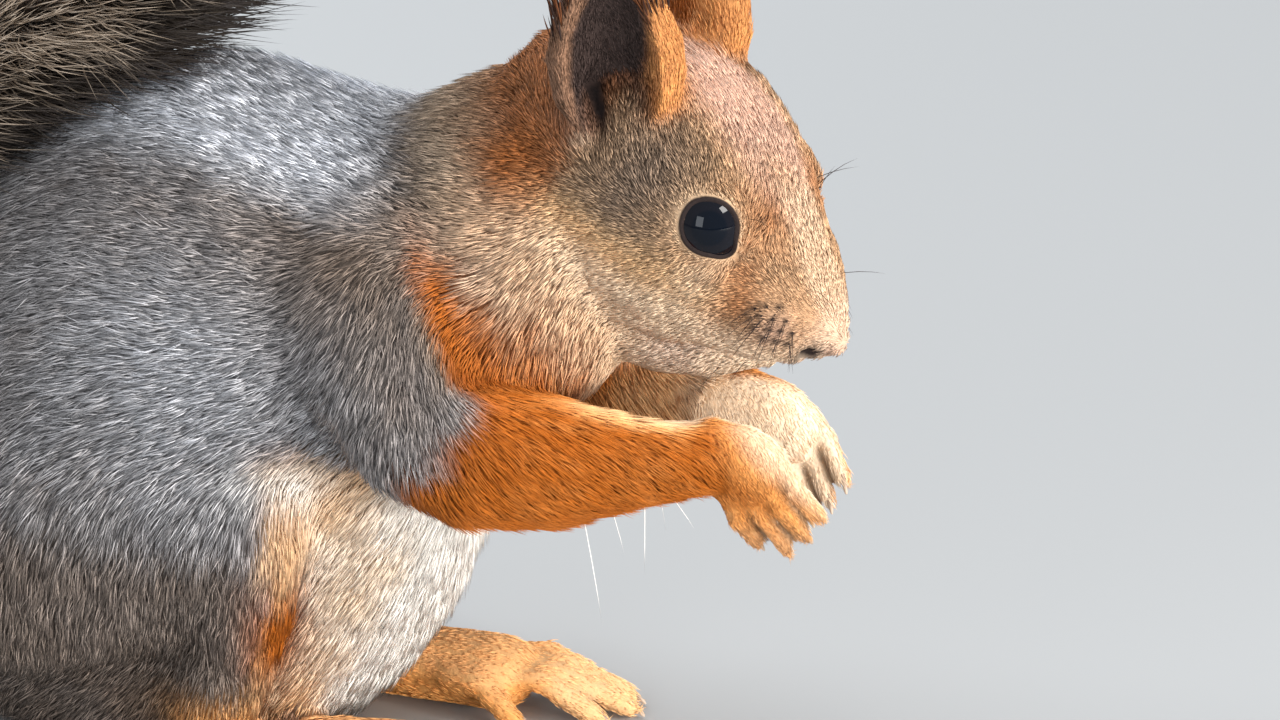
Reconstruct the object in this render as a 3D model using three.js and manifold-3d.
// A red squirrel in its grey winter coat, sitting up with both hands held together under its
// mouth and its tail laid over its back, as a still, life-size model.
//
// Units are millimetres. The floor is z = 0, +X is the way the squirrel faces, +Y is its left
// and the body's midline is y = 0. Every surface is the outline of the coat, out to the tips of
// the hair. Each piece gives way to the pieces named before it, so that neighbours stay a thin
// gap apart instead of passing through each other.

import * as THREE from 'three';
import { mergeVertices } from 'three/addons/utils/BufferGeometryUtils.js';
import Module from 'manifold-3d';

const wasm = await Module();
wasm.setup();

// ---------------------------------------------------------------- driving dimensions

const GAP = 0.3; // between neighbouring pieces
const SIDES = { right: -1, left: 1 };

// The trunk's side outline and half widths, from the rump on the floor to the neck.
// Each station is a slice across the body: a point on the back, one on the belly, both as
// [forward, up], and the half width between them.
const TRUNK = [
  { back: [-38, -1], belly: [9, -1], half: 15 },
  { back: [-50, 12], belly: [20.5, 8], half: 22 },
  { back: [-55, 31], belly: [30.5, 22], half: 26.5 },
  { back: [-54, 54], belly: [36, 37], half: 30 },
  { back: [-44, 77], belly: [38, 49], half: 32 },
  { back: [-24, 96.5], belly: [42, 53], half: 31 },
  { back: [-3, 102.5], belly: [48, 55], half: 27.5 },
  { back: [18, 96], belly: [53.5, 59.5], half: 24 },
  { back: [34, 105], belly: [57.5, 64.5], half: 21 },
  { back: [48, 110], belly: [61, 72], half: 17.5 },
];
const TRUNK_STEPS = 14;
const TRUNK_SIDES = 22;
const TRUNK_LENGTHS = { rump: [0, 0.3], abdomen: [0.3, 0.56], chest: [0.56, 0.8], neck: [0.8, 1] };

// The head in its own frame: origin inside the back of the skull, forward to the nose, left, up.
const HEAD_ORIGIN = [46.3, 1.9, 98.8];
const HEAD_TURN = -14; // degrees to the left of straight ahead
const HEAD_NOD = 30; // degrees down
const HEAD = [
  { along: -7, top: 9, low: -12, half: 12 },
  { along: 2, top: 16.5, low: -18.5, half: 17.5 },
  { along: 11, top: 20.4, low: -20.5, half: 19.5 },
  { along: 21, top: 20, low: -20.3, half: 19 },
  { along: 29, top: 16.8, low: -18, half: 16.6 },
  { along: 36, top: 12.2, low: -14.3, half: 13 },
  { along: 42, top: 7.8, low: -11.4, half: 10.6 },
  { along: 46.7, top: 4.2, low: -9, half: 8.4 },
  { along: 49.3, top: 1.6, low: -6.8, half: 5.8 },
];
const HEAD_STEPS = 11;
const HEAD_SIDES = 18;
const HEAD_SQUARENESS = 2.3; // 2 is an ellipse; the brow and cheeks are a little squarer
const SKULL_BACK = 4; // how far the head rounds off behind its first station
const MUZZLE_END = 1.8; // and in front of its last one
const NOSE = { along: 50.5, up: -2.2, long: 1.9, half: 3, high: 2.5 };
const JAW = [
  { along: 17, up: -19, half: 11, high: 8.4 },
  { along: 28, up: -18.4, half: 9.6, high: 6.6 },
  { along: 36.5, up: -15, half: 6.4, high: 4.6 },
  { along: 42.5, up: -10.8, half: 3.4, high: 2.4 },
];
const EYE = { along: 28.3, out: 10, up: 6.9, radius: 5.6 };

// The ears rise from the back corners of the crown and open forwards and outwards.
const EAR_ROOT = { along: 11, out: 12, up: 11.5 };
const EAR_SHELL = { long: 28, half: 9.8, deep: 5.6 };
const EAR_HOLLOW = { long: 25, half: 6.8, deep: 8 };
const EAR_SWEEP = -0.06; // backwards, for each millimetre up
const EAR_LEAN = 0.2; // outwards, for each millimetre up
const EAR_FACING = 35; // degrees that the opening turns from straight out towards the front
const EAR_SHAPE = [ // shares of the length, half width and half depth
  { up: 0, half: 0.76, deep: 1 },
  { up: 0.26, half: 1, deep: 1 },
  { up: 0.55, half: 0.98, deep: 0.82 },
  { up: 0.82, half: 0.6, deep: 0.52 },
  { up: 1, half: 0.16, deep: 0.24 },
];
const EAR_HOLLOW_SHIFT = { out: 4.2, rear: 1.2, up: 1 }; // out through the opening, and up the root
const THINNEST_EAR = 0.4; // half thickness
const EAR_TUFT_START = 0.86; // share of the ear's length where the long hair begins
const EAR_TUFT = { long: 19, radius: 3, taper: 0.82, back: 5, out: 2 };

// The tail's midline [forward, up], its half width across the body and its half depth.
const TAIL = [
  { at: [-42, 17], half: 11, deep: 10 },
  { at: [-63, 27], half: 18, deep: 15 },
  { at: [-76, 49], half: 24, deep: 18.5 },
  { at: [-69, 75], half: 26, deep: 20 },
  { at: [-44.5, 98], half: 27, deep: 20 },
  { at: [-17, 118.5], half: 27, deep: 19 },
  { at: [-1, 141.5], half: 25, deep: 18 },
  { at: [-4, 163], half: 20, deep: 15 },
  { at: [-16, 178], half: 12, deep: 9 },
];
const TAIL_STEPS = 14;
const TAIL_LENGTHS = { tail_base: [0, 0.36], tail_middle: [0.36, 0.68], tail_tip: [0.68, 1] };

// The arms: [forward, out from the midline, up] and radius. The hands meet under the mouth,
// to the right of the body's midline, because the head is turned that way.
const HANDS_MIDDLE = -5;
const UPPER_ARM = [
  { at: [21, 18, 78.5], radius: 14 },
  { at: [26, 24, 69], radius: 13 },
  { at: [31, 26.5, 59], radius: 10 },
];
const FOREARM = [
  { at: [30, 26.5, 60], radius: 9.6 },
  { at: [43, 22.5, 56], radius: 11.5 },
  { at: [57, 17, 55], radius: 8 },
  { at: [68, 12, 54.8], radius: 5.4 },
];
const PALM = [
  { at: [68, 10, 55], half: 5.2, thick: 4.6 },
  { at: [72.6, 9.2, 54.9], half: 6.1, thick: 4.5 },
  { at: [76.4, 8.6, 52.9], half: 6.5, thick: 4 },
];
const KNUCKLE_SLOPE = 0.95; // the row of knuckles climbs this much for each millimetre forward
const FINGER_LENGTHS = [7.6, 11, 11, 10]; // from the rear edge of the hand to its front edge
const FINGER_RADIUS = 1.65;
const FINGER_PITCH = 3.2; // between neighbouring knuckles
const FINGER_LEAN = 0.6; // forwards, for each millimetre along the finger
const FINGER_FAN = 0.04; // added to the lean from one finger to the next
const FINGER_ARCH = 0.9; // the middle joint stands out by this much
const FINGER_CURL = 1; // and the tip comes in by this much
const FINGER_CLAW = { long: 1.5, curl: 0.7 };

// The hind legs: [forward, out from the midline, up].
const THIGH = [
  { at: [-31, 17, 33], half: 21, thick: 19 },
  { at: [-12, 23, 39], half: 20, thick: 14 },
  { at: [6, 27, 44], half: 12, thick: 9.5 },
];
const SHANK = [
  { at: [7, 26.5, 43], radius: 9.5 },
  { at: [4, 25, 25], radius: 8 },
  { at: [-1, 20.5, 9], radius: 6 },
];
const FOOT = [
  { at: [-3, 19, 4.2], half: 4.6, thick: 4.6 },
  { at: [14, 18.2, 5], half: 6, thick: 5.4 },
  { at: [31, 17, 5], half: 7.4, thick: 5.4 },
];
const TOE_TIPS = [35.5, 46, 49.5, 48.5, 43]; // how far forward, from the inner toe to the outer one
const TOE_RADIUS = 2.15;
const TOE_ROOT_PITCH = 2.5;
const TOE_TIP_PITCH = 4.5;
const TOE_ROOT_HEIGHT = 5.4;
const TOE_TIP_HEIGHT = 2;
const TOE_ARCH = 2;
const INNER_TOE_SETBACK = 6; // the inner toe starts this far behind the others
const TOE_CLAW = { long: 1.2, droop: 0.3 };
const CLAW_RADIUS = 0.62;
const CLAW_TAPER = 0.62;
const CLAW_BEND = 0.5;

const FINISHES = {
  greyCoat: { color: 0x8d8782, roughness: 0.9 },
  orangeCoat: { color: 0xc06a2c, roughness: 0.9 },
  faceCoat: { color: 0xa9794f, roughness: 0.9 },
  paleCoat: { color: 0xd8cab4, roughness: 0.9 },
  darkCoat: { color: 0x4a3a30, roughness: 0.9 },
  eye: { color: 0x0a0706, roughness: 0.05 },
  claw: { color: 0x6f5f50, roughness: 0.45 },
};

// ---------------------------------------------------------------- lofted shapes

const FORWARD = new THREE.Vector3(1, 0, 0);
const LEFT = new THREE.Vector3(0, 1, 0);
const UP = new THREE.Vector3(0, 0, 1);
const vector = (x, y, z) => new THREE.Vector3(x, y, z);
const radians = THREE.MathUtils.degToRad;
const mix = THREE.MathUtils.lerp;

// One closed slice across a body: `across` and `up` are unit directions, `half` and `high` its
// half sizes, and `squareness` 2 makes it an ellipse.
function slice({ centre, across, up, half, high, squareness = 2 }, sides) {
  const bulge = (value) => Math.sign(value) * Math.abs(value) ** (2 / squareness);
  return Array.from({ length: sides }, (_, i) => {
    const angle = (2 * Math.PI * i) / sides;
    const point = centre.clone().addScaledVector(across, half * bulge(Math.cos(angle)));
    return point.addScaledVector(up, high * bulge(Math.sin(angle)));
  });
}

// Joins a run of slices into a closed shape, with a fan of triangles at each end.
function skinOver(slices) {
  const sides = slices[0].length;
  const points = slices.flat();
  const last = (slices.length - 1) * sides;
  for (const ring of [slices[0], slices.at(-1)]) {
    const middle = vector(0, 0, 0);
    ring.forEach((point) => middle.addScaledVector(point, 1 / sides));
    points.push(middle);
  }
  const index = [];
  for (let side = 0; side < sides; side += 1) {
    const next = (side + 1) % sides;
    for (let start = 0; start < last; start += sides) {
      index.push(start + side, start + next, start + sides + next);
      index.push(start + side, start + sides + next, start + sides + side);
    }
    index.push(points.length - 2, next, side);
    index.push(points.length - 1, last + side, last + next);
  }
  const geometry = new THREE.BufferGeometry().setFromPoints(points);
  geometry.setIndex(index);
  return geometry;
}

// Smooth values at t, from 0 to 1, along a run of stations: each number in them follows a
// Catmull-Rom curve of its own.
function between(stations, t) {
  const place = t * (stations.length - 1);
  const first = Math.min(Math.floor(place), stations.length - 2);
  const part = place - first;
  const values = {};
  for (const name of Object.keys(stations[0])) {
    const [a, b, c, d] = [-1, 0, 1, 2].map((step) => {
      const i = THREE.MathUtils.clamp(first + step, 0, stations.length - 1);
      return stations[i][name];
    });
    const slopeIn = (c - a) / 2;
    const slopeOut = (d - b) / 2;
    values[name] = b + slopeIn * part + (3 * (c - b) - 2 * slopeIn - slopeOut) * part ** 2
      + (2 * (b - c) + slopeIn + slopeOut) * part ** 3;
  }
  return values;
}

// The slices that round off an end: each is a share of the end's size, slid outwards by a
// share of the dome's height. Small pieces make do with one.
function domeSlices(sides) {
  const turns = sides < 9 ? [0.42] : [0.25, 0.62];
  return turns.map((turn) => {
    const angle = (turn * Math.PI) / 2;
    return { size: Math.sin(angle), slide: Math.cos(angle) };
  });
}

// A limb along a midline of stations. `across` is the direction its half width is measured in,
// `domes` how far its ends bulge as a share of the radius there, `range` the stretch that is
// made, and `grow` what is added all round.
function limb(stations, { across, sides, steps, domes = [1, 1], range = [0, 1], grow = 0 }) {
  const flat = stations.map(({ at, radius, half = radius, thick = radius }) => (
    { x: at[0], y: at[1], z: at[2], half, thick }));
  const centreAt = (t) => {
    const { x, y, z } = between(flat, t);
    return vector(x, y, z);
  };
  const nearby = 0.01;
  const sliceAt = (t, size, slide) => {
    const { half, thick } = between(flat, t);
    const behind = centreAt(Math.max(t - nearby, 0));
    const ahead = centreAt(Math.min(t + nearby, 1)).sub(behind).normalize();
    const up = ahead.clone().cross(across).normalize();
    const level = up.clone().cross(ahead).normalize();
    const centre = centreAt(t).addScaledVector(ahead, slide * (half + thick) / 2);
    const [wide, high] = [half, thick].map((measure) => (measure + grow) * size);
    return slice({ centre, across: level, up, half: wide, high }, sides);
  };
  const dome = domeSlices(sides);
  const count = Math.max(1, Math.round(steps * (range[1] - range[0])));
  const rings = [];
  if (domes[0] > 0) {
    dome.forEach(({ size, slide }) => rings.push(sliceAt(range[0], size, -domes[0] * slide)));
  }
  for (let i = 0; i <= count; i += 1) {
    rings.push(sliceAt(mix(range[0], range[1], i / count), 1, 0));
  }
  if (domes[1] > 0) {
    dome.reverse().forEach(({ size, slide }) => {
      rings.push(sliceAt(range[1], size, domes[1] * slide));
    });
  }
  return skinOver(rings);
}

// ---------------------------------------------------------------- trunk and tail

function trunk([from, to], grow) {
  const flat = TRUNK.map(({ back, belly, half }) => (
    { backX: back[0], backZ: back[1], bellyX: belly[0], bellyZ: belly[1], half }));
  const count = Math.round(TRUNK_STEPS * (to - from));
  const rings = [];
  for (let i = 0; i <= count; i += 1) {
    const { backX, backZ, bellyX, bellyZ, half } = between(flat, mix(from, to, i / count));
    const up = vector(backX - bellyX, 0, backZ - bellyZ);
    const high = up.length() / 2 + grow;
    up.normalize();
    const ahead = vector(up.z, 0, -up.x);
    const slide = (i === count ? grow : 0) - (i === 0 ? grow : 0);
    const centre = vector((backX + bellyX) / 2, 0, (backZ + bellyZ) / 2);
    centre.addScaledVector(ahead, slide);
    rings.push(slice({ centre, across: LEFT, up, half: half + grow, high }, TRUNK_SIDES));
  }
  return skinOver(rings);
}

// The tail's inner ends are flat, so a grown length only reaches a hair's breadth past them.
function tail(range, grow) {
  const stations = TAIL.map(({ at, half, deep }) => ({ at: [at[0], 0, at[1]], half, thick: deep }));
  const flatEnd = grow / TAIL[0].deep;
  const domes = [range[0] === 0 ? 0.8 : flatEnd, range[1] === 1 ? 1 : flatEnd];
  return limb(stations, { across: LEFT, sides: 14, steps: TAIL_STEPS, domes, range, grow });
}

// ---------------------------------------------------------------- the head's pieces

const headPose = new THREE.Matrix4()
  .makeRotationZ(radians(HEAD_TURN))
  .multiply(new THREE.Matrix4().makeRotationY(radians(HEAD_NOD)))
  .setPosition(...HEAD_ORIGIN);

const inHead = ({ along, out, up }, side) => vector(along, side * out, up).applyMatrix4(headPose);

function head(grow) {
  const sliceAt = (t, size, slide) => {
    const { along, top, low, half } = between(HEAD, t);
    return slice({
      centre: vector(along + slide, 0, (top + low) / 2),
      across: LEFT,
      up: UP,
      half: (half + grow) * size,
      high: ((top - low) / 2 + grow) * size,
      squareness: HEAD_SQUARENESS,
    }, HEAD_SIDES);
  };
  const dome = domeSlices(HEAD_SIDES);
  const rings = dome.map(({ size, slide }) => sliceAt(0, size, -(SKULL_BACK + grow) * slide));
  for (let i = 0; i <= HEAD_STEPS; i += 1) {
    rings.push(sliceAt(i / HEAD_STEPS, 1, 0));
  }
  dome.reverse().forEach(({ size, slide }) => {
    rings.push(sliceAt(1, size, (MUZZLE_END + grow) * slide));
  });
  return skinOver(rings).applyMatrix4(headPose);
}

function nose(grow) {
  const ball = new THREE.SphereGeometry(1, 9, 5);
  ball.scale(NOSE.long + grow, NOSE.half + grow, NOSE.high + grow);
  ball.translate(NOSE.along, 0, NOSE.up);
  return ball.applyMatrix4(headPose);
}

function lowerJaw(grow) {
  const stations = JAW.map(({ along, up, half, high }) => ({ at: [along, 0, up], half, thick: high }));
  return limb(stations, { across: LEFT, sides: 12, steps: 3, grow }).applyMatrix4(headPose);
}

function eye(side, grow) {
  const { x, y, z } = inHead(EYE, side);
  return new THREE.SphereGeometry(EYE.radius + grow, 12, 8).translate(x, y, z);
}

const earRise = (side) => vector(EAR_SWEEP, side * EAR_LEAN, 1).normalize();

function earFacing(side) {
  const turn = radians(HEAD_TURN + side * (90 - EAR_FACING));
  return vector(Math.cos(turn), Math.sin(turn), 0);
}

// The ear's leaf shape in a size, slid by `shift` and grown by `grow`, for its shell and its hollow.
function earLeaf(side, size, shift, grow, sides, steps) {
  const root = inHead(EAR_ROOT, side).add(shift);
  const stations = EAR_SHAPE.map(({ up, half, deep }) => ({
    at: root.clone().addScaledVector(earRise(side), up * size.long).toArray(),
    half: Math.max(half * size.half + grow, THINNEST_EAR),
    thick: Math.max(deep * size.deep + grow, THINNEST_EAR),
  }));
  return limb(stations, { across: earFacing(side).cross(UP), sides, steps });
}

function ear(side, grow) {
  const shell = solidOf(earLeaf(side, EAR_SHELL, vector(0, 0, 0), grow, 12, 5));
  const rearwards = earFacing(side).cross(UP).multiplyScalar(-side);
  const shift = earFacing(side).multiplyScalar(EAR_HOLLOW_SHIFT.out);
  shift.addScaledVector(rearwards, EAR_HOLLOW_SHIFT.rear).addScaledVector(UP, EAR_HOLLOW_SHIFT.up);
  return grow > 0 ? shell : shell.subtract(solidOf(earLeaf(side, EAR_HOLLOW, shift, 0, 12, 5)));
}

function earTuft(side, grow) {
  const start = inHead(EAR_ROOT, side).addScaledVector(earRise(side), EAR_SHELL.long * EAR_TUFT_START);
  const stations = [0, 0.35, 0.7, 1].map((t) => {
    const bend = vector(-EAR_TUFT.back, side * EAR_TUFT.out, 0).multiplyScalar(t ** 2);
    const at = start.clone().addScaledVector(earRise(side), t * EAR_TUFT.long).add(bend);
    return { at: at.toArray(), radius: EAR_TUFT.radius * (1 - EAR_TUFT.taper * t) };
  });
  return limb(stations, { across: FORWARD, sides: 7, steps: 3, grow });
}

// ---------------------------------------------------------------- arms and legs

const sided = (stations, side, middle = 0) => stations.map((station) => {
  const [forward, out, up] = station.at;
  return { ...station, at: [forward, middle + side * out, up] };
});

// The forearm shifts sideways along its length, from the body's midline to the hands' own.
const towardsHands = (stations, side) => stations.map((station, i) => {
  const [forward, out, up] = station.at;
  const share = (i + 1) / stations.length;
  return { ...station, at: [forward, HANDS_MIDDLE * share + side * out, up] };
});

function upperArm(side, grow) {
  return limb(sided(UPPER_ARM, side), { across: FORWARD, sides: 12, steps: 3, grow });
}

function forearm(side, grow) {
  return limb(towardsHands(FOREARM, side), { across: LEFT, sides: 12, steps: 4, grow });
}

function thigh(side, grow) {
  return limb(sided(THIGH, side), { across: UP, sides: 14, steps: 4, grow });
}

function shank(side, grow) {
  return limb(sided(SHANK, side), { across: LEFT, sides: 12, steps: 3, grow });
}

// A digit is its knuckle, middle joint and tip, with the way its claw points.
const knuckleRow = vector(1, 0, KNUCKLE_SLOPE).normalize();

function fingers(side) {
  const handEnd = sided(PALM, side, HANDS_MIDDLE).at(-1);
  const inward = vector(0, -side, 0);
  return FINGER_LENGTHS.map((length, i) => {
    const place = i - (FINGER_LENGTHS.length - 1) / 2;
    const way = vector(FINGER_LEAN + FINGER_FAN * place, 0, -1).normalize();
    const knuckle = vector(...handEnd.at).addScaledVector(knuckleRow, place * FINGER_PITCH);
    const joint = knuckle.clone().addScaledVector(way, length * 0.55);
    joint.addScaledVector(inward, -FINGER_ARCH);
    const tip = knuckle.clone().addScaledVector(way, length).addScaledVector(inward, FINGER_CURL);
    const clawWay = way.clone().addScaledVector(inward, FINGER_CLAW.curl).normalize();
    const points = [knuckle, joint, tip];
    return { points, radius: FINGER_RADIUS, clawWay, clawLong: FINGER_CLAW.long, across: FORWARD };
  });
}

function toes(side) {
  const [ballX, ballY] = sided(FOOT, side).at(-1).at;
  return TOE_TIPS.map((forward, i) => {
    const place = side * (i - (TOE_TIPS.length - 1) / 2);
    const setback = i === 0 ? INNER_TOE_SETBACK : 0;
    const root = vector(ballX - setback, ballY + place * TOE_ROOT_PITCH, TOE_ROOT_HEIGHT);
    const tip = vector(forward, ballY + place * TOE_TIP_PITCH, TOE_TIP_HEIGHT);
    const joint = root.clone().lerp(tip, 0.5).addScaledVector(UP, TOE_ARCH);
    const clawWay = vector(1, 0, -TOE_CLAW.droop).normalize();
    const points = [root, joint, tip];
    return { points, radius: TOE_RADIUS, clawWay, clawLong: TOE_CLAW.long, across: LEFT };
  });
}

function digitShape({ points, radius, across }, grow) {
  const stations = points.map((point, i) => (
    { at: point.toArray(), radius: radius * [1.08, 0.98, 0.88][i] }));
  return limb(stations, { across, sides: 6, steps: 2, grow, domes: [0, 1] });
}

// A claw starts in the middle of its digit's tip and arches up a little on its way out.
function clawShape({ points, radius, clawWay, clawLong, across }, grow) {
  const stations = [0, 0.5, 1].map((t) => {
    const at = points[2].clone().addScaledVector(clawWay, t * (clawLong + radius));
    at.addScaledVector(UP, CLAW_BEND * (1 - (2 * t - 0.6) ** 2));
    return { at: at.toArray(), radius: CLAW_RADIUS * (1 - CLAW_TAPER * t) };
  });
  return limb(stations, { across, sides: 5, steps: 2, grow, domes: [0, 0] });
}

const withDigits = (base, digits, grow) => (
  digits.reduce((sum, digit) => sum.add(solidOf(digitShape(digit, grow))), solidOf(base)));

function hand(side, grow) {
  const palm = limb(sided(PALM, side, HANDS_MIDDLE), { across: knuckleRow, sides: 10, steps: 3, grow });
  return withDigits(palm, fingers(side), grow);
}

function foot(side, grow) {
  const sole = limb(sided(FOOT, side), { across: LEFT, sides: 10, steps: 2, grow });
  return withDigits(sole, toes(side), grow);
}

// ---------------------------------------------------------------- joins and cuts

function volumeOf(points, index) {
  const corner = (i) => vector(...points.subarray(3 * index[i], 3 * index[i] + 3));
  let sum = 0;
  for (let i = 0; i < index.length; i += 3) {
    sum += corner(i).dot(corner(i + 1).cross(corner(i + 2))) / 6;
  }
  return sum;
}

function solidOf(geometry) {
  const bare = geometry.clone();
  bare.deleteAttribute('normal');
  bare.deleteAttribute('uv');
  const welded = mergeVertices(bare);
  const triVerts = Uint32Array.from(welded.index.array);
  const vertProperties = Float32Array.from(welded.attributes.position.array);
  if (volumeOf(vertProperties, triVerts) < 0) {
    triVerts.reverse();
  }
  return new wasm.Manifold(new wasm.Mesh({ numProp: 3, vertProperties, triVerts }));
}

const boxesTouch = (a, b) => [0, 1, 2].every((i) => a.min[i] <= b.max[i] && b.min[i] <= a.max[i]);

// A cut can leave a loose chip beside the piece; only the piece itself is kept.
const mainBody = (solid) => solid.decompose().reduce((a, b) => (b.volume() > a.volume() ? b : a));

// ---------------------------------------------------------------- the list of pieces

const pieces = [];

// `shape` makes a piece grown by a given amount, as a geometry or as a solid.
function addPiece(name, finish, shape) {
  const solid = (grow) => {
    const made = shape(grow);
    return made instanceof THREE.BufferGeometry ? solidOf(made) : made;
  };
  pieces.push({ name, finish, solid });
}

function addBothSides(name, finish, shape) {
  for (const [word, side] of Object.entries(SIDES)) {
    addPiece(`${name}_${word}`, finish, (grow) => shape(side, grow));
  }
}

function addLengths(lengths, finish, shape) {
  for (const [name, range] of Object.entries(lengths)) {
    addPiece(name, finish, (grow) => shape(range, grow));
  }
}

function addClaws(name, digits) {
  for (const [word, side] of Object.entries(SIDES)) {
    digits(side).forEach((digit, i) => {
      addPiece(`${name}_${word}_${i + 1}`, 'claw', (grow) => clawShape(digit, grow));
    });
  }
}

addBothSides('eye', 'eye', eye);
addPiece('head', 'faceCoat', head);
addPiece('nose', 'faceCoat', nose);
addPiece('lower_jaw', 'paleCoat', lowerJaw);
addBothSides('ear', 'orangeCoat', ear);
addBothSides('ear_tuft', 'darkCoat', earTuft);
addLengths(TRUNK_LENGTHS, 'greyCoat', trunk);
addBothSides('upper_arm', 'greyCoat', upperArm);
addBothSides('forearm', 'orangeCoat', forearm);
addBothSides('hand', 'orangeCoat', hand);
addClaws('finger_claw', fingers);
addBothSides('thigh', 'greyCoat', thigh);
addBothSides('shank', 'orangeCoat', shank);
addBothSides('foot', 'orangeCoat', foot);
addClaws('toe_claw', toes);
addLengths(TAIL_LENGTHS, 'darkCoat', tail);

// ---------------------------------------------------------------- the finished group

// Everything below the floor is cut off, which leaves small flats under the rump and the feet.
const belowFloor = solidOf(new THREE.BoxGeometry(400, 400, 40).translate(0, 0, -20));

function meshOf(solid, { name, finish }) {
  const { vertProperties, triVerts } = solid.getMesh();
  const geometry = new THREE.BufferGeometry();
  geometry.setAttribute('position', new THREE.BufferAttribute(vertProperties, 3));
  geometry.setIndex(new THREE.BufferAttribute(triVerts, 1));
  geometry.computeVertexNormals();
  const material = new THREE.MeshStandardMaterial({ ...FINISHES[finish], metalness: 0 });
  const mesh = new THREE.Mesh(geometry, material);
  mesh.name = name;
  return mesh;
}

const squirrel = new THREE.Group();
pieces.forEach((piece, i) => {
  let solid = piece.solid(0).subtract(belowFloor);
  for (const earlier of pieces.slice(0, i)) {
    const room = earlier.solid(GAP);
    if (boxesTouch(solid.boundingBox(), room.boundingBox())) {
      solid = solid.subtract(room);
    }
  }
  squirrel.add(meshOf(mainBody(solid), piece));
});

export default squirrel;
